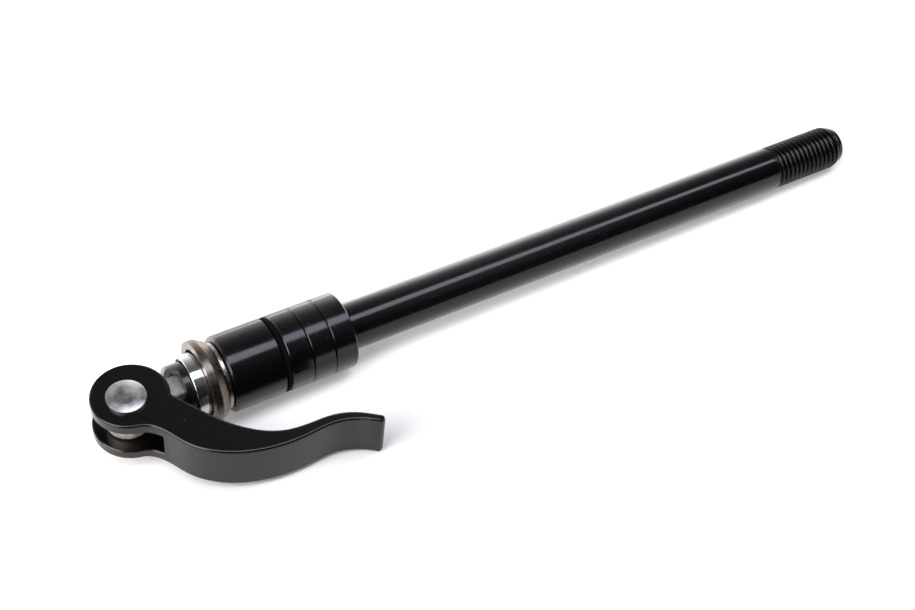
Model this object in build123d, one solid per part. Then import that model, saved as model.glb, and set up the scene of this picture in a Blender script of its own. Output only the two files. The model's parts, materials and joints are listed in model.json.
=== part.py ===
from build123d import *
import math
import os

# Bicycle thru axle with a cam lever and a row of spacers.
# Millimetres. X runs along the axle towards its thread, the origin is on the axis at the seat face
# of the last spacer, and Z points up with the axle lying on a table, resting on spacers and lever tip.

# Axle
SHAFT_D = 12.0
SHANK_LEN = 132.6
REAR_RELIEF = 0.02
REAR_TAPER = 0.6
THREAD_RELIEF = 0.075
THREAD_RUNOUT = 0.6
THREAD_LEN = 23.8
THREAD_END_LEN = 3.0
THREAD_END_DROP = 1.1
AXLE_BORE_D = 7.0
AXLE_EDGE = 0.4

# Clearances
SLIDE_FIT = 0.08
PIN_FIT = 0.05
PRESS_FIT = 0.01
STACK_GAP = 0.05
CUP_FIT = 0.12
TONGUE_FIT = 0.2
EYE_SIDE_GAP = 0.2

# Spacers on the shank
SPACER_D = 19.15
RING_LEN = 5.82
RING_COUNT = 3
RING_EDGE = 0.28
RUBBER_LEN = 1.2
RUBBER_INSET = 0.075
RUBBER_EDGE = 0.35
SLEEVE_LEN = 13.4
SLEEVE_EDGE = 0.45

# Washers and follower cup
THIN_WASHER_D = 16.8
THIN_WASHER_LEN = 1.3
THIN_WASHER_EDGE = 0.4
TAPER_LARGE_D = 20.7
TAPER_SMALL_D = 17.8
TAPER_LEN = 4.1
TAPER_LAND = 1.8
TAPER_EDGE = 0.7
CUP_SEAT_DEPTH = 1.5
CUP_SEAT_GAP = 0.35
CUP_SEAT_FLARE = 0.3
CUP_D = 15.6
CUP_LEN = 4.55
CUP_WALL = 0.75
CUP_FLOOR = 1.0
CUP_EDGE = 0.2

# Cam follower
SADDLE_NOSE_STEP = 0.38
SADDLE_NOSE_LEN = 4.0
SADDLE_COLLAR = 0.45
SADDLE_GROOVE_TOP = 9.4
SADDLE_GROOVE_FLOOR = 6.0
SADDLE_GROOVE_DEPTH = 2.2
SADDLE_EDGE = 0.3
SADDLE_TURN = 20.0

# Pivot pin and eye stud; the pin lies PIN_SIDE off the axle's axis, towards the lever
PIN_D = 6.0
PIN_SIDE = 1.18
PIN_HEAD_D = 9.4
PIN_HEAD_RIM = 0.7
PIN_DOME = 0.75
TONGUE_WIDTH = 6.0
TONGUE_STEP = 0.3
TONGUE_EDGE = 0.45
EYE_D = 10.4
STUD_LEN = 20.0

# Lever, in its own plane: pin at the origin, x along the axle, y sideways
LEVER_THICK = 12.4
LEVER_EDGE = 0.6
SLOT_WIDTH = 6.6
SLOT_DEPTH = 12.05
SLOT_TURN = -55.0
SLOT_EDGE = 0.25
CAM_D = 18.55
CAM_OFFSET_X = 1.08
CAM_OFFSET_Y = 0.48
CAM_GAP = 0.85
ARM_EXIT_TURN = -100.0
ARM_ROOT_TURN = -23.0
ARM_ROOT_FILLET = 0.8
TIP_T = 2.0
TIP_CORNER = 1.6
OUTER_EDGE = [
    (3.88, -12.02),
    (7.18, -17.82),
    (13.08, -23.42),
    (22.08, -27.02),
    (32.58, -27.72),
    (40.08, -27.42),
]
INNER_EDGE = [
    (44.78, -26.12),
    (40.08, -24.72),
    (34.58, -24.52),
    (28.08, -23.62),
    (21.88, -20.02),
    (15.88, -13.32),
]
TIP = (49.78, -30.72)
TIP_TURN = -39.0
ARM_ROOT_HEADING = -57.0
GRIP_COUNT = 4
GRIP_START = 2.4
GRIP_PITCH = 0.7
GRIP_WIDTH = 0.3
GRIP_DEPTH = 0.14

# Places along the axle, from the seat face back to the pin
shaft_r = SHAFT_D / 2
rear_r = shaft_r - REAR_RELIEF
thread_r = shaft_r - THREAD_RELIEF
spacer_bore_r = shaft_r + SLIDE_FIT
ring_faces = [-i * (RING_LEN + STACK_GAP) for i in range(RING_COUNT)]
rubber_face = ring_faces[-1] - RING_LEN - STACK_GAP
sleeve_face = rubber_face - RUBBER_LEN - STACK_GAP
thin_face = sleeve_face - SLEEVE_LEN - STACK_GAP
taper_face = thin_face - THIN_WASHER_LEN - STACK_GAP
cup_face = taper_face - TAPER_LEN + CUP_SEAT_DEPTH - STACK_GAP
cup_mouth = cup_face - CUP_LEN
saddle_face = cup_face - CUP_FLOOR - STACK_GAP
saddle_lug_face = cup_mouth - SADDLE_NOSE_LEN
axle_back = saddle_face + STACK_GAP
eye_thick = SLOT_WIDTH - 2 * EYE_SIDE_GAP
tongue_thick = eye_thick - 2 * TONGUE_STEP
cam_r = CAM_D / 2
cam_offset = math.hypot(CAM_OFFSET_X, CAM_OFFSET_Y)
pin_x = saddle_lug_face - CAM_GAP - cam_r - cam_offset

# The lever droops about the axle until its tip lies level with the underside of the spacers
tip_side = PIN_SIDE - TIP[1]
tip_reach = math.hypot(tip_side, LEVER_THICK / 2)
droop = math.degrees(math.asin(SPACER_D / 2 / tip_reach) - math.atan2(LEVER_THICK / 2, tip_side))


def turned(corners, rounds=()):
    """Solid of revolution about the axle from (x, radius) corners; rounds lists (corner, radius)."""
    face = make_face(Polyline(*corners, close=True))
    for corner, radius in rounds:
        face = fillet(face.vertices().sort_by_distance(corner)[0], radius)
    return revolve(face, Axis.X)


def spacer(face_x, length, outer_d, edge):
    """Plain ring on the shank with chamfered outer edges, its face towards the thread at face_x."""
    outer_r = outer_d / 2
    return turned([
        (face_x, spacer_bore_r),
        (face_x, outer_r - edge),
        (face_x - edge, outer_r),
        (face_x - length + edge, outer_r),
        (face_x - length, outer_r - edge),
        (face_x - length, spacer_bore_r),
    ])


def axle_shaft():
    """Hollow axle: shank relieved under the spacers, thread blank with a run-out cone, tapered end."""
    end_x = SHANK_LEN + THREAD_LEN
    return turned([
        (axle_back, AXLE_BORE_D / 2),
        (axle_back, rear_r - AXLE_EDGE),
        (axle_back + AXLE_EDGE, rear_r),
        (-REAR_TAPER, rear_r),
        (0, shaft_r),
        (SHANK_LEN, shaft_r),
        (SHANK_LEN + THREAD_RUNOUT, thread_r),
        (end_x - THREAD_END_LEN, thread_r),
        (end_x, thread_r - THREAD_END_DROP),
        (end_x, AXLE_BORE_D / 2),
    ])


def rubber_ring():
    """Flat rubber ring with rounded shoulders."""
    outer_r = SPACER_D / 2 - RUBBER_INSET
    back = rubber_face - RUBBER_LEN
    corners = [(rubber_face, spacer_bore_r), (rubber_face, outer_r), (back, outer_r), (back, spacer_bore_r)]
    return turned(corners, [(corners[1], RUBBER_EDGE), (corners[2], RUBBER_EDGE)])


def thin_washer():
    """Flat washer with rounded outer edges."""
    outer_r = THIN_WASHER_D / 2
    back = thin_face - THIN_WASHER_LEN
    corners = [(thin_face, spacer_bore_r), (thin_face, outer_r), (back, outer_r), (back, spacer_bore_r)]
    return turned(corners, [(corners[1], THIN_WASHER_EDGE), (corners[2], THIN_WASHER_EDGE)])


def taper_washer():
    """Washer with a conical outside, largest towards the lever, dished to seat the cup."""
    back = taper_face - TAPER_LEN
    seat_x = back + CUP_SEAT_DEPTH
    seat_r = CUP_D / 2 + CUP_SEAT_GAP
    corners = [
        (taper_face, spacer_bore_r),
        (taper_face, TAPER_SMALL_D / 2),
        (back + TAPER_LAND, TAPER_LARGE_D / 2),
        (back, TAPER_LARGE_D / 2),
        (back, seat_r + CUP_SEAT_FLARE),
        (seat_x, seat_r),
        (seat_x, spacer_bore_r),
    ]
    return turned(corners, [(corners[1], TAPER_EDGE), (corners[2], TAPER_EDGE)])


def cam_cup():
    """Cup that opens towards the lever, with the axle through its floor."""
    outer_r = CUP_D / 2
    inner_r = outer_r - CUP_WALL
    floor_x = cup_face - CUP_FLOOR
    corners = [
        (cup_face, spacer_bore_r),
        (cup_face, outer_r),
        (cup_mouth, outer_r),
        (cup_mouth, inner_r),
        (floor_x, inner_r),
        (floor_x, spacer_bore_r),
    ]
    return turned(corners, [(corners[1], CUP_EDGE), (corners[2], CUP_EDGE), (corners[3], CUP_EDGE)])


def cam_saddle():
    """Follower: collar inside the cup, nose with a groove that leaves two lugs facing the cam."""
    collar_r = CUP_D / 2 - CUP_WALL - CUP_FIT
    collar_x = cup_mouth + SADDLE_COLLAR
    nose_r = collar_r - SADDLE_NOSE_STEP
    hole_r = math.hypot(TONGUE_WIDTH / 2, tongue_thick / 2 - TONGUE_EDGE) + TONGUE_FIT
    body = turned([
        (saddle_face, hole_r),
        (saddle_face, collar_r),
        (collar_x, collar_r),
        (collar_x, nose_r),
        (saddle_lug_face + SADDLE_EDGE, nose_r),
        (saddle_lug_face, nose_r - SADDLE_EDGE),
        (saddle_lug_face, hole_r),
    ])
    groove_x = saddle_lug_face + SADDLE_GROOVE_DEPTH
    groove_plan = make_face(Polyline(
        (saddle_lug_face, SADDLE_GROOVE_TOP / 2),
        (groove_x, SADDLE_GROOVE_FLOOR / 2),
        (groove_x, -SADDLE_GROOVE_FLOOR / 2),
        (saddle_lug_face, -SADDLE_GROOVE_TOP / 2),
        close=True,
    ))
    groove = extrude(groove_plan, 2 * collar_r, both=True)
    return Rot(X=SADDLE_TURN) * (body - groove)


def tongue_stud():
    """Eye stud: round shank in the axle's bore, flat-sided tongue, eye set to the lever's side."""
    tongue_len = axle_back - pin_x
    tongue = Pos(pin_x + tongue_len / 2, 0, 0) * Box(tongue_len, TONGUE_WIDTH, tongue_thick)
    tongue = chamfer(tongue.edges().filter_by(Axis.X), TONGUE_EDGE)
    eye = Pos(pin_x, -PIN_SIDE, 0) * Cylinder(EYE_D / 2, eye_thick)
    eye = chamfer(eye.edges(), TONGUE_EDGE)
    shank = Rot(Y=90) * Cylinder(AXLE_BORE_D / 2 - PRESS_FIT, STUD_LEN)
    shank = Pos(axle_back + STUD_LEN / 2, 0, 0) * shank
    pin_hole = Pos(pin_x, -PIN_SIDE, 0) * Cylinder(PIN_D / 2 + PIN_FIT, eye_thick)
    return eye + tongue + shank - pin_hole


def lever_edges():
    """Plan of the lever as its edges in order: outer side, tip end, inner side, eccentric cam."""
    cam_centre = Vector(CAM_OFFSET_X, CAM_OFFSET_Y)
    arm_exit = cam_centre + Vector(cam_r, 0).rotate(Axis.Z, ARM_EXIT_TURN)
    arm_root = cam_centre + Vector(cam_r, 0).rotate(Axis.Z, ARM_ROOT_TURN)
    exit_heading = Vector(1, 0).rotate(Axis.Z, ARM_EXIT_TURN + 90)
    tip_heading = Vector(1, 0).rotate(Axis.Z, TIP_TURN)
    root_heading = Vector(-1, 0).rotate(Axis.Z, ARM_ROOT_HEADING)
    half_tip = tip_heading.rotate(Axis.Z, 90) * (TIP_T / 2)
    tip_outer = Vector(*TIP) - half_tip
    tip_inner = Vector(*TIP) + half_tip
    outer_ends = (exit_heading, tip_heading)
    inner_ends = (-tip_heading, root_heading)
    outer = Spline(arm_exit, *OUTER_EDGE, tip_outer, tangents=outer_ends, tangent_scalars=(1, 1))
    end = ThreePointArc(tip_outer, Vector(*TIP) + tip_heading * (TIP_T / 2), tip_inner)
    inner = Spline(tip_inner, *INNER_EDGE, arm_root, tangents=inner_ends, tangent_scalars=(1, 1))
    back_turn = (ARM_ROOT_TURN + ARM_EXIT_TURN) / 2 + 180
    cam_back = cam_centre + Vector(cam_r, 0).rotate(Axis.Z, back_turn)
    cam = ThreePointArc(arm_root, cam_back, arm_exit)
    return outer, end, inner, cam


def tip_corner():
    """Waste outside the rounded upper corner of the tip, in side view."""
    end_x = TIP_T / 2
    top = LEVER_THICK / 2
    centre = (end_x - TIP_CORNER, top - TIP_CORNER)
    waste = make_face([
        CenterArc(centre, TIP_CORNER, 0, 90),
        Polyline(
            (centre[0], top),
            (centre[0], top + TIP_CORNER),
            (end_x + TIP_CORNER, top + TIP_CORNER),
            (end_x + TIP_CORNER, centre[1]),
            (end_x, centre[1]),
        ),
    ])
    waste = extrude(Plane.XZ * waste, 2 * TIP_T, both=True)
    return Pos(*TIP) * Rot(Z=TIP_TURN) * waste


def grip_grooves(outer):
    """Row of shallow grooves across the outer face just before the tip."""
    grooves = []
    for i in range(GRIP_COUNT):
        along = 1 - (GRIP_START + i * GRIP_PITCH) / outer.length
        heading = outer % along
        turn = math.degrees(math.atan2(heading.Y, heading.X))
        groove = Box(GRIP_WIDTH, 2 * GRIP_DEPTH, 2 * LEVER_THICK)
        grooves.append(Pos(outer @ along) * Rot(Z=turn) * groove)
    return grooves


def lever():
    """Forged lever: rounded edges, fork slot across the cam, pin hole, grip grooves at the tip."""
    outer, end, inner, cam = lever_edges()
    plan = make_face([outer, end, inner, cam])
    plan = fillet(plan.vertices().sort_by_distance(inner @ 1)[0], ARM_ROOT_FILLET)
    body = extrude(plan, LEVER_THICK / 2, both=True)
    top_and_bottom = body.edges().group_by(Axis.Z)[-1] + body.edges().group_by(Axis.Z)[0]
    body = fillet(top_and_bottom, LEVER_EDGE)
    slot_span = 4 * CAM_D
    slot = Pos(SLOT_DEPTH - slot_span / 2, 0, 0) * Box(slot_span, slot_span, SLOT_WIDTH)
    body -= Rot(Z=SLOT_TURN) * slot
    slot_way = Vector(1, 0).rotate(Axis.Z, SLOT_TURN)
    wall_edges = body.edges().filter_by(lambda edge: math.isclose(abs(edge.center().Z), SLOT_WIDTH / 2))
    mouth = wall_edges.filter_by(lambda edge: edge.center().dot(slot_way) < SLOT_DEPTH - SLOT_EDGE)
    body = chamfer(mouth, SLOT_EDGE)
    body -= Cylinder(PIN_D / 2 + PRESS_FIT, LEVER_THICK)
    upper_corner = tip_corner()
    body -= [upper_corner, mirror(upper_corner, Plane.XY), *grip_grooves(outer)]
    return Pos(pin_x, -PIN_SIDE, 0) * body


def pivot_pin():
    """Riveted pin: straight shank with a domed head on both sides of the fork."""
    seat = LEVER_THICK / 2
    rim = seat + PIN_HEAD_RIM
    crown = rim + PIN_DOME
    head_r = PIN_HEAD_D / 2
    shank_r = PIN_D / 2
    profile = make_face([
        Line((0, -crown), (0, crown)),
        TangentArc((0, crown), (head_r, rim), tangent=(1, 0)),
        Polyline(
            (head_r, rim),
            (head_r, seat),
            (shank_r, seat),
            (shank_r, -seat),
            (head_r, -seat),
            (head_r, -rim),
        ),
        TangentArc((0, -crown), (head_r, -rim), tangent=(1, 0)),
    ])
    return Pos(pin_x, -PIN_SIDE, 0) * revolve(Plane.XZ * profile, Axis.Z)


hang = Rot(X=droop)
nodes = {
    "axle_shaft": axle_shaft(),
    "tongue_stud": hang * tongue_stud(),
    "lever": hang * lever(),
    "pivot_pin": hang * pivot_pin(),
    "cam_saddle": hang * cam_saddle(),
    "cam_cup": cam_cup(),
    "taper_washer": taper_washer(),
    "thin_washer": thin_washer(),
    "long_sleeve": spacer(sleeve_face, SLEEVE_LEN, SPACER_D, SLEEVE_EDGE),
    "rubber_ring": rubber_ring(),
}
for number, face_x in enumerate(reversed(ring_faces), start=1):
    nodes[f"spacer_ring_{number}"] = spacer(face_x, RING_LEN, SPACER_D, RING_EDGE)

os.makedirs("parts", exist_ok=True)
for name, shape in nodes.items():
    export_step(shape, f"parts/{name}.step")
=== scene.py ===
import bpy
import bmesh
import json
import math
from mathutils import Matrix, Vector


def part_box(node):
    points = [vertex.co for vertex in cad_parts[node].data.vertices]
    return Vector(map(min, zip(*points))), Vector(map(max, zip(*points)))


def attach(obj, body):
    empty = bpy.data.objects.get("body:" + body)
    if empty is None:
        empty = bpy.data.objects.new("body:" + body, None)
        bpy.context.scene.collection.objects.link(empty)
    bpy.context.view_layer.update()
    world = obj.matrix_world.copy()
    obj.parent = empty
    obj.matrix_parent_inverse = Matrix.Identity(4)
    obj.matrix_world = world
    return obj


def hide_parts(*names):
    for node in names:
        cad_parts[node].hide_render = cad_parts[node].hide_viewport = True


# Bicycle thru axle lying on a pale table. The frame is in metres: X along the axle towards its
# thread, Z up, lever on the -Y side.
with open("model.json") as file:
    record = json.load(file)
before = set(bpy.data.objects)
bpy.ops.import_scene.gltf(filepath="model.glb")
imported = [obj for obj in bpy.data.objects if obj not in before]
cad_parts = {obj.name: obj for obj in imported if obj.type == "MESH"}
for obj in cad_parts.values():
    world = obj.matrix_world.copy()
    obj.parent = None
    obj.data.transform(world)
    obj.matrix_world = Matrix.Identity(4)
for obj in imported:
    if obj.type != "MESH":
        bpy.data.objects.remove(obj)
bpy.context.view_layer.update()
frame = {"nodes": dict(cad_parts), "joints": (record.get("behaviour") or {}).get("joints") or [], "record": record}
nodes = frame["nodes"]
MM = 0.001

# The lever's hinge gives the pin's place and how far the lever droops about the axle
hinge = next(joint for joint in frame["joints"] if joint["name"] == "lever_hinge")
pin_centre = Vector(hinge["pos_m"])
droop = math.asin(hinge["axis"][1])

# Tip of the lever: its place from the pin and its heading in the lever's own plan, in mm and degrees
TIP = (49.78, -30.72)
TIP_TURN = math.radians(-39.0)
lever_plan = Matrix.Rotation(droop, 3, "X")
tip_place = pin_centre + lever_plan @ Vector((*TIP, 0)) * MM
tip_heading = lever_plan @ Vector((math.cos(TIP_TURN), math.sin(TIP_TURN), 0))
tip_outward = lever_plan @ Vector((math.sin(TIP_TURN), -math.cos(TIP_TURN), 0))

# Grip grooves across the outer face of the tip, from the tip backwards, in mm
GRIP_START = 2.4
GRIP_PITCH = 0.7
GRIP_COUNT = 4
# where the painted highlight on the ridges fades in: away from a groove, past the ends of the grip, out from the
# tip's middle
RIDGE_FADE = (0.1, 0.25)
GRIP_FADE = 0.1
OUTER_FADE = (0.5, 0.8)

# A noise stays mostly between these values
NOISE_LOW = 0.3
NOISE_HIGH = 0.7


def linear(hex_colour):
    """sRGB hex to the linear colour that shaders take."""
    channels = [int(hex_colour[i:i + 2], 16) / 255 for i in (1, 3, 5)]
    channels = [c / 12.92 if c <= 0.04045 else ((c + 0.055) / 1.055) ** 2.4 for c in channels]
    return (*channels, 1.0)


def per_mm(size):
    """Texture scale for a pattern whose grains are that many millimetres across."""
    return 1.0 / (size * MM)


def add(tree, kind, inputs=None, **settings):
    """Adds a node. An input is a constant, or another node's output socket to link."""
    node = tree.nodes.new(kind)
    for name, value in settings.items():
        setattr(node, name, value)
    for key, value in (inputs or {}).items():
        if isinstance(value, bpy.types.NodeSocket):
            tree.links.new(value, node.inputs[key])
        else:
            node.inputs[key].default_value = value
    return node


def start(name, **shader):
    """New material with its Principled shader set from constants; returns material, tree and shader."""
    material = bpy.data.materials.new(name)
    material.use_nodes = True
    tree = material.node_tree
    surface = tree.nodes["Principled BSDF"]
    for key, value in shader.items():
        surface.inputs[key.replace("_", " ")].default_value = value
    return material, tree, surface


def dress(tree, surface, colour, roughness, relief):
    """Links a finish to its shader. Each part is the pattern that it follows and what it goes between:
    two colours, two roughness values, or flat and that many millimetres high."""
    pattern, dark, light = colour
    mixed = add(tree, "ShaderNodeMix", {"Factor": pattern, "A": dark, "B": light}, data_type="RGBA")
    pattern, smooth, rough = roughness
    sheen = add(
        tree,
        "ShaderNodeMapRange",
        {
            "Value": pattern, "From Min": NOISE_LOW, "From Max": NOISE_HIGH,
            "To Min": smooth, "To Max": rough,
        },
    )
    pattern, height = relief
    bump = add(tree, "ShaderNodeBump", {"Height": pattern, "Strength": 1.0, "Distance": height * MM})
    tree.links.new(mixed.outputs["Result"], surface.inputs["Base Color"])
    tree.links.new(sheen.outputs["Result"], surface.inputs["Roughness"])
    tree.links.new(bump.outputs["Normal"], surface.inputs["Normal"])


def lathe_place(tree, place=(0, 0, 0), turn=(0, 0, 0), axis="X"):
    """Vector (along the lathe's axis, radius, 0), so that a noise on it draws turning marks."""
    where = add(tree, "ShaderNodeTexCoord").outputs["Object"]
    local = add(
        tree,
        "ShaderNodeMapping",
        {"Vector": where, "Location": place, "Rotation": turn},
        vector_type="TEXTURE",
    )
    parts = add(tree, "ShaderNodeSeparateXYZ", {"Vector": local.outputs["Vector"]})
    across = [name for name in "XYZ" if name != axis]
    flat = add(
        tree,
        "ShaderNodeCombineXYZ",
        {"X": parts.outputs[across[0]], "Y": parts.outputs[across[1]]},
    )
    radius = add(tree, "ShaderNodeVectorMath", {0: flat.outputs["Vector"]}, operation="LENGTH")
    return add(
        tree,
        "ShaderNodeCombineXYZ",
        {"X": parts.outputs[axis], "Y": radius.outputs["Value"]},
    ).outputs["Vector"]


def turned_anodised(name, glossy, satin):
    """Turned aluminium, hard anodised and dyed black: deep gloss black, faint turning marks, stray dust."""
    material, tree, surface = start(name, IOR=1.45, Specular_Tint=linear("#fff7fb"))
    where = add(tree, "ShaderNodeTexCoord").outputs["Object"]
    # turning marks of 0.05 mm are too fine to show, so they are drawn 0.25 mm apart
    marks = add(
        tree, "ShaderNodeTexNoise", {"Vector": lathe_place(tree), "Scale": per_mm(0.25), "Detail": 3.0}
    )
    cloud = add(tree, "ShaderNodeTexNoise", {"Vector": where, "Scale": per_mm(6.0), "Detail": 2.0})
    grain = add(tree, "ShaderNodeTexNoise", {"Vector": where, "Scale": per_mm(0.35), "Detail": 0.0})
    dust = add(
        tree, "ShaderNodeMapRange", {"Value": grain.outputs["Fac"], "From Min": 0.83, "From Max": 0.86}
    )
    dress(
        tree,
        surface,
        colour=(dust.outputs["Result"], linear("#050506"), linear("#3c3c40")),
        roughness=(cloud.outputs["Fac"], glossy, satin),
        relief=(marks.outputs["Fac"], 0.0015),
    )
    return material


def cut_anodised():
    """Cut aluminium thread, anodised black: a little duller than the shank, faintly uneven."""
    material, tree, surface = start("black_anodised_cut_thread", IOR=1.33)
    where = add(tree, "ShaderNodeTexCoord").outputs["Object"]
    # the cutter's marks are finer than this, and drawn at 0.6 mm so that they show
    grain = add(tree, "ShaderNodeTexNoise", {"Vector": where, "Scale": per_mm(0.6), "Detail": 2.0})
    dress(
        tree,
        surface,
        colour=(grain.outputs["Fac"], linear("#030304"), linear("#0c0c0e")),
        roughness=(grain.outputs["Fac"], 0.15, 0.2),
        relief=(grain.outputs["Fac"], 0.002),
    )
    return material


def painted_lit_ridges(tree, where):
    """1 on the ridges between the grip grooves of the lever's tip, which get a painted highlight in place of the
    grooves' shade, and 0 elsewhere.
    """
    from_tip = add(tree, "ShaderNodeVectorMath", {0: where, 1: tip_place}, operation="SUBTRACT")
    behind = add(
        tree,
        "ShaderNodeVectorMath",
        {0: from_tip.outputs["Vector"], 1: -tip_heading},
        operation="DOT_PRODUCT",
    )
    outward = add(
        tree,
        "ShaderNodeVectorMath",
        {0: from_tip.outputs["Vector"], 1: tip_outward},
        operation="DOT_PRODUCT",
    )
    past_groove = add(
        tree, "ShaderNodeMath", {0: behind.outputs["Value"], 1: GRIP_START * MM}, operation="SUBTRACT"
    )
    to_groove = add(
        tree,
        "ShaderNodeMath",
        {0: past_groove.outputs["Value"], 1: GRIP_PITCH / 2 * MM},
        operation="PINGPONG",
    )
    ridge = add(
        tree,
        "ShaderNodeMapRange",
        {
            "Value": to_groove.outputs["Value"],
            "From Min": RIDGE_FADE[0] * MM, "From Max": RIDGE_FADE[1] * MM,
        },
    )
    half_grip = GRIP_PITCH * GRIP_COUNT / 2
    mid_grip = GRIP_START + GRIP_PITCH * (GRIP_COUNT - 1) / 2
    off_middle = add(
        tree, "ShaderNodeMath", {0: behind.outputs["Value"], 1: mid_grip * MM}, operation="SUBTRACT"
    )
    off_grip = add(tree, "ShaderNodeMath", {0: off_middle.outputs["Value"]}, operation="ABSOLUTE")
    within = add(
        tree,
        "ShaderNodeMapRange",
        {
            "Value": off_grip.outputs["Value"],
            "From Min": (half_grip + GRIP_FADE) * MM, "From Max": (half_grip - GRIP_FADE) * MM,
        },
    )
    outer = add(
        tree,
        "ShaderNodeMapRange",
        {
            "Value": outward.outputs["Value"],
            "From Min": OUTER_FADE[0] * MM, "From Max": OUTER_FADE[1] * MM,
        },
    )
    on_grip = add(
        tree,
        "ShaderNodeMath",
        {0: within.outputs["Result"], 1: outer.outputs["Result"]},
        operation="MULTIPLY",
    )
    return add(
        tree,
        "ShaderNodeMath",
        {0: ridge.outputs["Result"], 1: on_grip.outputs["Value"]},
        operation="MULTIPLY",
    ).outputs["Value"]


def forged_anodised():
    """Forged aluminium, blasted and anodised black: satin, with fine grit and a few light specks; at the grip the
    ridges between the grooves get a painted highlight, in place of the grooves' shade."""
    material, tree, surface = start(
        "black_anodised_forged_aluminium", IOR=1.45, Specular_Tint=linear("#fff9f5")
    )
    where = add(tree, "ShaderNodeTexCoord").outputs["Object"]
    # the blasting leaves 0.1 mm grit, drawn at 0.3 mm so that it shows
    grit = add(
        tree,
        "ShaderNodeTexNoise",
        {"Vector": where, "Scale": per_mm(0.3), "Detail": 4.0, "Roughness": 0.7},
    )
    flecks = add(tree, "ShaderNodeTexNoise", {"Vector": where, "Scale": per_mm(0.45), "Detail": 1.0})
    specks = add(
        tree, "ShaderNodeMapRange", {"Value": flecks.outputs["Fac"], "From Min": 0.75, "From Max": 0.82}
    )
    black = add(
        tree,
        "ShaderNodeMix",
        {"Factor": specks.outputs["Result"], "A": linear("#060607"), "B": linear("#464649")},
        data_type="RGBA",
    )
    dress(
        tree,
        surface,
        # painted highlight: the grip's ridges are lighter than its grooves, standing in for the shade in the
        # grooves
        colour=(painted_lit_ridges(tree, where), black.outputs["Result"], linear("#242323")),
        roughness=(grit.outputs["Fac"], 0.12, 0.2),
        relief=(grit.outputs["Fac"], 0.012),
    )
    return material


def moulded_nylon():
    """Moulded black nylon: gloss with a soft ripple from the mould."""
    material, tree, surface = start("black_moulded_nylon", IOR=1.53)
    where = add(tree, "ShaderNodeTexCoord").outputs["Object"]
    ripple = add(tree, "ShaderNodeTexNoise", {"Vector": where, "Scale": per_mm(1.2), "Detail": 2.0})
    dress(
        tree,
        surface,
        colour=(ripple.outputs["Fac"], linear("#080808"), linear("#161616")),
        roughness=(ripple.outputs["Fac"], 0.18, 0.3),
        relief=(ripple.outputs["Fac"], 0.015),
    )
    return material


def moulded_rubber():
    """Moulded rubber: matte black with a fine dull grain."""
    material, tree, surface = start("black_moulded_rubber", IOR=1.3, Specular_IOR_Level=0.2)
    where = add(tree, "ShaderNodeTexCoord").outputs["Object"]
    grain = add(tree, "ShaderNodeTexNoise", {"Vector": where, "Scale": per_mm(0.2), "Detail": 3.0})
    dress(
        tree,
        surface,
        colour=(grain.outputs["Fac"], linear("#020202"), linear("#060606")),
        roughness=(grain.outputs["Fac"], 0.75, 0.95),
        relief=(grain.outputs["Fac"], 0.02),
    )
    return material


def turned_stainless():
    """Turned stainless steel: soft grey with turning rings round the crown and cloudy rubbed patches."""
    material, tree, surface = start("turned_stainless_steel", Metallic=1.0)
    where = add(tree, "ShaderNodeTexCoord").outputs["Object"]
    lathe = lathe_place(tree, pin_centre, (droop, 0, 0), axis="Z")
    # the real rings are finer, and drawn 0.45 mm apart so that they show
    rings = add(tree, "ShaderNodeTexNoise", {"Vector": lathe, "Scale": per_mm(0.45), "Detail": 2.0})
    cloud = add(tree, "ShaderNodeTexNoise", {"Vector": where, "Scale": per_mm(2.4), "Detail": 1.0})
    both = add(
        tree, "ShaderNodeMath", {0: cloud.outputs["Fac"], 1: rings.outputs["Fac"]}, operation="ADD"
    )
    share = add(
        tree, "ShaderNodeMapRange", {"Value": both.outputs["Value"], "From Min": 0.75, "From Max": 1.25}
    )
    dress(
        tree,
        surface,
        colour=(share.outputs["Result"], linear("#9b9899"), linear("#c2bebd")),
        roughness=(cloud.outputs["Fac"], 0.24, 0.38),
        relief=(rings.outputs["Fac"], 0.008),
    )
    return material


def plated_forging():
    """Forged steel, zinc plated: warm silver, mottled by the forging."""
    material, tree, surface = start("zinc_plated_forged_steel", Metallic=1.0)
    where = add(tree, "ShaderNodeTexCoord").outputs["Object"]
    mottle = add(
        tree,
        "ShaderNodeTexNoise",
        {"Vector": where, "Scale": per_mm(1.1), "Detail": 4.0, "Roughness": 0.6},
    )
    dress(
        tree,
        surface,
        colour=(mottle.outputs["Fac"], linear("#a39990"), linear("#fff8ee")),
        roughness=(mottle.outputs["Fac"], 0.5, 0.65),
        relief=(mottle.outputs["Fac"], 0.03),
    )
    return material


def polished_steel():
    """Polished steel: crisp mirror bands with the faintest turning marks."""
    material, tree, surface = start("polished_turned_steel", Metallic=1.0)
    # the real marks are finer, and drawn 0.3 mm apart so that they show
    marks = add(
        tree, "ShaderNodeTexNoise", {"Vector": lathe_place(tree), "Scale": per_mm(0.3), "Detail": 3.0}
    )
    dress(
        tree,
        surface,
        colour=(marks.outputs["Fac"], linear("#d8d5d8"), linear("#eceaec")),
        roughness=(marks.outputs["Fac"], 0.1, 0.15),
        relief=(marks.outputs["Fac"], 0.001),
    )
    return material


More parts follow.
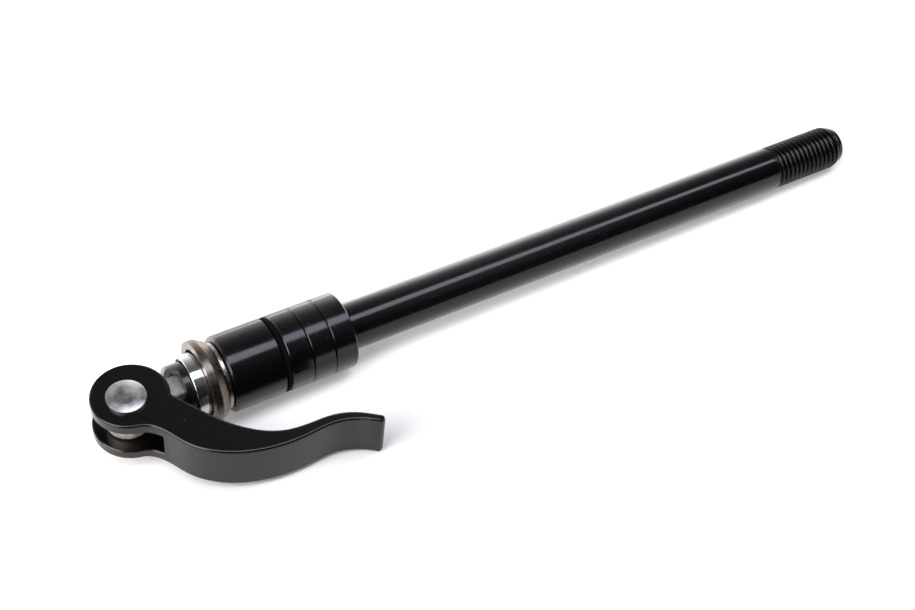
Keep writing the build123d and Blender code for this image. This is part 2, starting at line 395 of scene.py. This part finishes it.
def nickel_plated():
    """Nickel-plated steel: warm brown grey, cloudy, streaked round and lightly pitted."""
    material, tree, surface = start("nickel_plated_steel", Metallic=1.0)
    where = add(tree, "ShaderNodeTexCoord").outputs["Object"]
    cloud = add(
        tree,
        "ShaderNodeTexNoise",
        {"Vector": where, "Scale": per_mm(1.3), "Detail": 5.0, "Roughness": 0.7},
    )
    streaks = add(
        tree, "ShaderNodeTexNoise", {"Vector": lathe_place(tree), "Scale": per_mm(0.4), "Detail": 3.0}
    )
    both = add(
        tree, "ShaderNodeMath", {0: cloud.outputs["Fac"], 1: streaks.outputs["Fac"]}, operation="ADD"
    )
    share = add(
        tree, "ShaderNodeMapRange", {"Value": both.outputs["Value"], "From Min": 0.7, "From Max": 1.35}
    )
    dress(
        tree,
        surface,
        colour=(share.outputs["Result"], linear("#5a5048"), linear("#857a70")),
        roughness=(cloud.outputs["Fac"], 0.24, 0.38),
        relief=(both.outputs["Value"], 0.008),
    )
    return material


def bright_steel():
    """Bright rolled steel: light warm silver with scuffs."""
    material, tree, surface = start("bright_rolled_steel", Metallic=1.0)
    where = add(tree, "ShaderNodeTexCoord").outputs["Object"]
    scuffs = add(
        tree,
        "ShaderNodeTexNoise",
        {"Vector": where, "Scale": per_mm(0.8), "Detail": 5.0, "Roughness": 0.7},
    )
    dress(
        tree,
        surface,
        colour=(scuffs.outputs["Fac"], linear("#7d746c"), linear("#c4bbb2")),
        roughness=(scuffs.outputs["Fac"], 0.16, 0.34),
        relief=(scuffs.outputs["Fac"], 0.02),
    )
    return material


# Axle with its cut thread. Sizes in millimetres, as in the solid that it stands for; the record's
# mounts give the plain shank and the straight part of the thread.
mounts = {mount["name"]: mount["dims"] for mount in frame["record"]["mounts"]}
SHAFT_R = mounts["shank"]["r_mm"]
SHANK_END = mounts["shank"]["length_mm"]
THREAD_R = mounts["thread_end"]["r_mm"]
# stretch inside the spacers, a taper behind the seat face and a chamfer at its back end
REAR_R = 5.98
REAR_TAPER = 0.6
REAR_EDGE = 0.4
BORE_R = 3.5
BORE_EDGE = 0.25
# from the shank down to the thread, and from the thread to the smaller end
RUNOUT = 0.6
TAPER_START = SHANK_END + RUNOUT + mounts["thread_end"]["length_mm"]
TAPER_DROP = 1.1
# thread: pitch, depth, the length over which it reaches that depth, and the power that makes its
# rounded crest wider than its root
PITCH = 1.5
THREAD_DEPTH = 0.87
THREAD_FADE = 1.8
THREAD_CREST = 1.25
# mesh: sides of a ring, rows in one pitch, and the angle in degrees from which an edge is sharp
SEGMENTS = 128
THREAD_STEPS = 16
SHARP_ANGLE = 35
# vertices closer than the first and edges shorter than the second, in metres, are merged
SAME_PLACE = 1e-7
NO_LENGTH = 1e-8


def smooth_step(t):
    """0 to 1 with a soft start and a soft end."""
    t = min(1.0, max(0.0, t))
    return t * t * (3 - 2 * t)


def thread_point(x, depth_share, end_x):
    """(x, radius) of the thread at x: it fades in from the shank and runs out on the tapered end."""
    x = min(end_x, max(SHANK_END, x))
    crest = SHAFT_R - (SHAFT_R - THREAD_R) * min(1.0, (x - SHANK_END) / RUNOUT)
    radius = crest - THREAD_DEPTH * depth_share * smooth_step((x - SHANK_END) / THREAD_FADE)
    taper = THREAD_R - TAPER_DROP * (x - TAPER_START) / (end_x - TAPER_START)
    return x, min(radius, taper)


def vertex(mesh, x, radius, side):
    """Vertex at x and radius in millimetres, that many sides round the axle."""
    angle = 2 * math.pi * side / SEGMENTS
    return mesh.verts.new((x * MM, radius * MM * math.cos(angle), radius * MM * math.sin(angle)))


def axle_with_thread():
    """Hollow axle whose right-hand thread is cut as a helix; stands for the plain solid."""
    low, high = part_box("axle_shaft")
    back_x = low.x / MM
    end_x = high.x / MM
    mesh = bmesh.new()
    # plain part, from the start of the thread back round the outside and forward through the bore
    outline = [
        (SHANK_END, SHAFT_R), (0.0, SHAFT_R), (-REAR_TAPER, REAR_R), (back_x + REAR_EDGE, REAR_R),
        (back_x, REAR_R - REAR_EDGE), (back_x, BORE_R), (end_x - BORE_EDGE, BORE_R),
        (end_x, BORE_R + BORE_EDGE), (end_x, THREAD_R - TAPER_DROP),
    ]
    rings = [[vertex(mesh, x, radius, j) for j in range(SEGMENTS)] for x, radius in outline]
    for one, two in zip(rings, rings[1:]):
        for j in range(SEGMENTS):
            k = (j + 1) % SEGMENTS
            mesh.faces.new((one[j], one[k], two[k], two[j]))
    # thread, in rows that climb by one pitch in a turn; what lies past its two ends is pressed flat there
    turns = math.ceil((end_x - SHANK_END) / PITCH) + 2
    rows = []
    for turn in range(turns):
        for step in range(THREAD_STEPS):
            share = step / THREAD_STEPS
            depth_share = (0.5 - 0.5 * math.cos(2 * math.pi * share)) ** THREAD_CREST
            row = []
            for j in range(SEGMENTS + 1):
                x = SHANK_END + PITCH * (turn - 1 + share + j / SEGMENTS)
                row.append(vertex(mesh, *thread_point(x, depth_share, end_x), j))
            rows.append(row)
    for one, two in zip(rows, rows[1:]):
        for j in range(SEGMENTS):
            face = mesh.faces.new((one[j], two[j], two[j + 1], one[j + 1]))
            face.material_index = 1
    bmesh.ops.remove_doubles(mesh, verts=mesh.verts, dist=SAME_PLACE)
    bmesh.ops.dissolve_degenerate(mesh, edges=mesh.edges, dist=NO_LENGTH)
    bmesh.ops.recalc_face_normals(mesh, faces=mesh.faces)
    for face in mesh.faces:
        face.smooth = True
    data = bpy.data.meshes.new("threaded_axle")
    mesh.to_mesh(data)
    mesh.free()
    data.set_sharp_from_angle(angle=math.radians(SHARP_ANGLE))
    threaded = bpy.data.objects.new("threaded_axle", data)
    bpy.context.scene.collection.objects.link(threaded)
    return threaded


shank_black = turned_anodised("gloss_black_anodised_turned_aluminium", 0.13, 0.18)
spacer_black = turned_anodised("satin_black_anodised_turned_aluminium", 0.14, 0.19)
axle = axle_with_thread()
axle.data.materials.append(shank_black)
axle.data.materials.append(cut_anodised())
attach(axle, "axle")
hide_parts("axle_shaft")

FINISHES = {
    "lever": forged_anodised(),
    "pivot_pin": turned_stainless(),
    "tongue_stud": plated_forging(),
    "cam_saddle": moulded_nylon(),
    "cam_cup": polished_steel(),
    "taper_washer": nickel_plated(),
    "thin_washer": bright_steel(),
    "long_sleeve": spacer_black,
    "rubber_ring": moulded_rubber(),
    "spacer_ring_1": spacer_black,
    "spacer_ring_2": spacer_black,
    "spacer_ring_3": spacer_black,
}
for name, finish in FINISHES.items():
    nodes[name].data.materials.clear()
    nodes[name].data.materials.append(finish)

# Studio, in metres
ONE_SHEET = [(0, 1, 2, 3)]


def staged(name, corners, faces, finish):
    """Mesh that belongs to the studio."""
    mesh = bpy.data.meshes.new(name)
    mesh.from_pydata(corners, [], faces)
    mesh.materials.append(finish)
    piece = bpy.data.objects.new(name, mesh)
    bpy.context.scene.collection.objects.link(piece)
    return piece


def profile(tree, value, stops, peak=1.0):
    """Grey that follows (value, level) stops, as a share of the peak level."""
    first = stops[0][0]
    last = stops[-1][0]
    along = add(tree, "ShaderNodeMapRange", {"Value": value, "From Min": first, "From Max": last})
    ramp = add(tree, "ShaderNodeValToRGB", {"Fac": along.outputs["Result"]})
    elements = ramp.color_ramp.elements
    while len(elements) < len(stops):
        elements.new(0.5)
    for element, (place, level) in zip(elements, stops):
        share = level / peak
        element.position = (place - first) / (last - first)
        element.color = (share, share, share, 1)
    return ramp.outputs["Color"]


# Table top that carries the spacers and the thread's end, so it slopes by the axle's own rest angle.
# It is a white sweep with a glow of its own, which is painted light: brighter behind the object than in front of
# it, so that the cylinders reflect it, and a faint band under and just in front of the axle that lightens its
# shadow.
TABLE_HALF = 4.0
TABLE_SLOPE = 0.0235
TABLE_GAP = 0.02 * MM
spacer_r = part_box("long_sleeve")[1].z
# (y, glow)
SWEEP_GLOW = [
    (-0.30, 0.0), (-0.03, 0.0), (-0.012, 0.22), (0.01, 0.3), (0.02, 0.7), (0.04, 1.7), (0.08, 2.6),
    (0.30, 3.2),
]
GLOW_PEAK = SWEEP_GLOW[-1][1]
# (x, share of the glow); behind the spacers the glow nearly goes out, which is painted shade in their reflections
SWEEP_SIDES = [
    (-0.05, 1.0), (-0.035, 0.5), (-0.025, 0.04), (0.008, 0.04), (0.022, 0.85), (0.035, 1.0),
    (0.13, 1.0), (0.22, 0.3),
]
# that share comes in between these two y, so in front of the axle the glow is the same all along it
SIDES_START = 0.003
SIDES_FULL = 0.015
# far from the object the sweep glows plain white all round
FAR_START = 0.35
FAR_FULL = 0.9
FAR_GLOW = 1.1
sweep_paint, tree, surface = start(
    "white_matte_sweep",
    Base_Color=linear("#ece7e1"),
    Roughness=0.9,
    Specular_IOR_Level=0.1,
    Emission_Strength=GLOW_PEAK,
)
where = add(tree, "ShaderNodeTexCoord").outputs["Object"]
place = add(tree, "ShaderNodeSeparateXYZ", {"Vector": where})
behind = add(
    tree,
    "ShaderNodeMapRange",
    {"Value": place.outputs["Y"], "From Min": SIDES_START, "From Max": SIDES_FULL},
)
near = add(
    tree,
    "ShaderNodeMix",
    {
        "Factor": behind.outputs["Result"],
        "A": profile(tree, place.outputs["Y"], SWEEP_GLOW, GLOW_PEAK),
        "B": profile(tree, place.outputs["X"], SWEEP_SIDES),
    },
    data_type="RGBA",
    blend_type="MULTIPLY",
)
flat = add(tree, "ShaderNodeCombineXYZ", {"X": place.outputs["X"], "Y": place.outputs["Y"]})
reach = add(tree, "ShaderNodeVectorMath", {0: flat.outputs["Vector"]}, operation="LENGTH")
far = add(
    tree,
    "ShaderNodeMapRange",
    {
        "Value": reach.outputs["Value"], "From Min": FAR_START, "From Max": FAR_FULL,
        "To Max": FAR_GLOW / GLOW_PEAK,
    },
)
lit = add(
    tree,
    "ShaderNodeMix",
    {"Factor": 1.0, "A": near.outputs["Result"], "B": far.outputs["Result"]},
    data_type="RGBA",
    blend_type="ADD",
)
tree.links.new(lit.outputs["Result"], surface.inputs["Emission Color"])
table_corners = [
    (x, y, TABLE_SLOPE * x - spacer_r - TABLE_GAP)
    for x, y in (
        (-TABLE_HALF, -TABLE_HALF), (TABLE_HALF, -TABLE_HALF),
        (TABLE_HALF, TABLE_HALF), (-TABLE_HALF, TABLE_HALF),
    )
]
staged("table_top", table_corners, ONE_SHEET, sweep_paint)

# White wall round the table, as bright as its far parts, which only the camera sees
WALL_R = 3.9
WALL_FOOT = -0.2
WALL_TOP = 3.0
WALL_SIDES = 48
wall_paint = start(
    "white_wall",
    Base_Color=linear("#000000"),
    Specular_IOR_Level=0.0,
    Emission_Color=linear("#ffffff"),
    Emission_Strength=FAR_GLOW,
)[0]
wall_turns = [2 * math.pi * i / WALL_SIDES for i in range(WALL_SIDES)]
wall_corners = [
    (WALL_R * math.cos(turn), WALL_R * math.sin(turn), z)
    for z in (WALL_FOOT, WALL_TOP)
    for turn in wall_turns
]
wall_faces = [
    (i, (i + 1) % WALL_SIDES, WALL_SIDES + (i + 1) % WALL_SIDES, WALL_SIDES + i)
    for i in range(WALL_SIDES)
]
wall = staged("white_wall", wall_corners, wall_faces, wall_paint)
wall.visible_diffuse = False
wall.visible_glossy = False
wall.visible_shadow = False

# Studio dome: bright behind the object near the horizon, fading overhead, dark in front; brightest
# a little to the right
# (degrees up from the horizon behind, radiance)
DOME = [
    (0, 5.2), (12, 5.0), (21, 4.05), (29, 3.0), (37, 2.0), (45, 1.3), (53, 1.07), (61, 0.74),
    (69, 0.54), (77, 0.4), (88, 0.35), (118, 0.5), (125, 0.45), (140, 0.3), (150, 0.1), (180, 0.07),
]
DOME_PEAK = DOME[0][1]
# (x of the direction, share of the dome's radiance)
DOME_SIDES = [
    (-1.0, 0.3), (-0.1, 0.32), (0.08, 0.22), (0.17, 0.2), (0.30, 0.31), (0.37, 0.84), (0.45, 0.84),
    (0.54, 0.65), (0.65, 0.2), (1.0, 0.1),
]
world = bpy.data.worlds.new("studio_dome")
bpy.context.scene.world = world
world.use_nodes = True
tree = world.node_tree
way = add(tree, "ShaderNodeTexCoord").outputs["Generated"]
parts = add(tree, "ShaderNodeSeparateXYZ", {"Vector": way})
rise = add(
    tree, "ShaderNodeMath", {0: parts.outputs["Z"], 1: parts.outputs["Y"]}, operation="ARCTAN2"
)
dome_rise = [(math.radians(degrees), level) for degrees, level in DOME]
sky = add(
    tree,
    "ShaderNodeMix",
    {
        "Factor": 1.0,
        "A": profile(tree, rise.outputs["Value"], dome_rise, DOME_PEAK),
        "B": profile(tree, parts.outputs["X"], DOME_SIDES),
    },
    data_type="RGBA",
    blend_type="MULTIPLY",
)
background = tree.nodes["Background"]
tree.links.new(sky.outputs["Result"], background.inputs["Color"])
background.inputs["Strength"].default_value = DOME_PEAK

# Overhead soft light, narrower towards the thread, which draws the light band along the black cylinders
BAND_RADIANCE = 5.2
BAND_HEIGHT = 1.0
# ends of the band: (x, y of its back edge, y of its front edge)
BAND_AT_LEVER = (-1.0, 0.04, -0.61)
BAND_AT_THREAD = (1.8, -0.09, -0.17)
band_paint = start(
    "softbox_cloth",
    Base_Color=linear("#000000"),
    Specular_IOR_Level=0.0,
    Emission_Color=linear("#eaf1ff"),
    Emission_Strength=BAND_RADIANCE,
)[0]
band_corners = [
    (BAND_AT_LEVER[0], BAND_AT_LEVER[1], BAND_HEIGHT),
    (BAND_AT_LEVER[0], BAND_AT_LEVER[2], BAND_HEIGHT),
    (BAND_AT_THREAD[0], BAND_AT_THREAD[2], BAND_HEIGHT),
    (BAND_AT_THREAD[0], BAND_AT_THREAD[1], BAND_HEIGHT),
]
band = staged("overhead_softbox", band_corners, ONE_SHEET, band_paint)
band.visible_camera = False

# Low black card in front, which only reflections see: it keeps the lower half of the cylinders dark
CARD_Y = -0.15
CARD_HALF = 0.6
CARD_FOOT = -0.03
CARD_TOP = 0.012
card_paint = start(
    "black_flag_card", Base_Color=linear("#000000"), Roughness=1.0, Specular_IOR_Level=0.0
)[0]
card_corners = [
    (-CARD_HALF, CARD_Y, CARD_FOOT), (CARD_HALF, CARD_Y, CARD_FOOT),
    (CARD_HALF, CARD_Y, CARD_TOP), (-CARD_HALF, CARD_Y, CARD_TOP),
]
card = staged("front_card", card_corners, ONE_SHEET, card_paint)
card.visible_camera = False
card.visible_diffuse = False
card.visible_shadow = False

# Square soft light from the left, which shines towards the object
LEFT_PLACE = Vector((-1.05, -0.30, 0.55))
LEFT_SIZE = 0.9
LEFT_RADIANCE = 6.0
left_lamp = bpy.data.lights.new("left_softbox", "AREA")
left_lamp.size = LEFT_SIZE
left_lamp.energy = LEFT_RADIANCE * math.pi * LEFT_SIZE ** 2
left_box = bpy.data.objects.new("left_softbox", left_lamp)
left_box.location = LEFT_PLACE
left_box.rotation_euler = (-LEFT_PLACE).to_track_quat("-Z", "Y").to_euler()
left_box.visible_camera = False
bpy.context.scene.collection.objects.link(left_box)

# Camera, fitted to the photograph with the 12 mm shank and the 1.5 mm pitch as its scale. The sensor
# and the lens are in millimetres.
SENSOR_WIDTH = 36.0
LENS = 62.95
NEAREST = 0.01
FARTHEST = 20.0
CAMERA_PLACE = (-0.1263, -0.2492, 0.2780)
CAMERA_RIGHT = (0.8605, -0.5080, 0.0385)
CAMERA_FORWARD = (0.389, 0.6064, -0.6935)
camera_data = bpy.data.cameras.new("camera")
camera_data.sensor_width = SENSOR_WIDTH
camera_data.lens = LENS
camera_data.clip_start = NEAREST
camera_data.clip_end = FARTHEST
camera = bpy.data.objects.new("camera", camera_data)
right = Vector(CAMERA_RIGHT).normalized()
forward = Vector(CAMERA_FORWARD)
forward = (forward - forward.dot(right) * right).normalized()
up = right.cross(forward)
camera_turn = Matrix((right, up, -forward)).transposed().to_4x4()
camera.matrix_world = Matrix.Translation(CAMERA_PLACE) @ camera_turn
bpy.context.scene.collection.objects.link(camera)
bpy.context.scene.camera = camera
bpy.context.scene.view_settings.view_transform = "Standard"
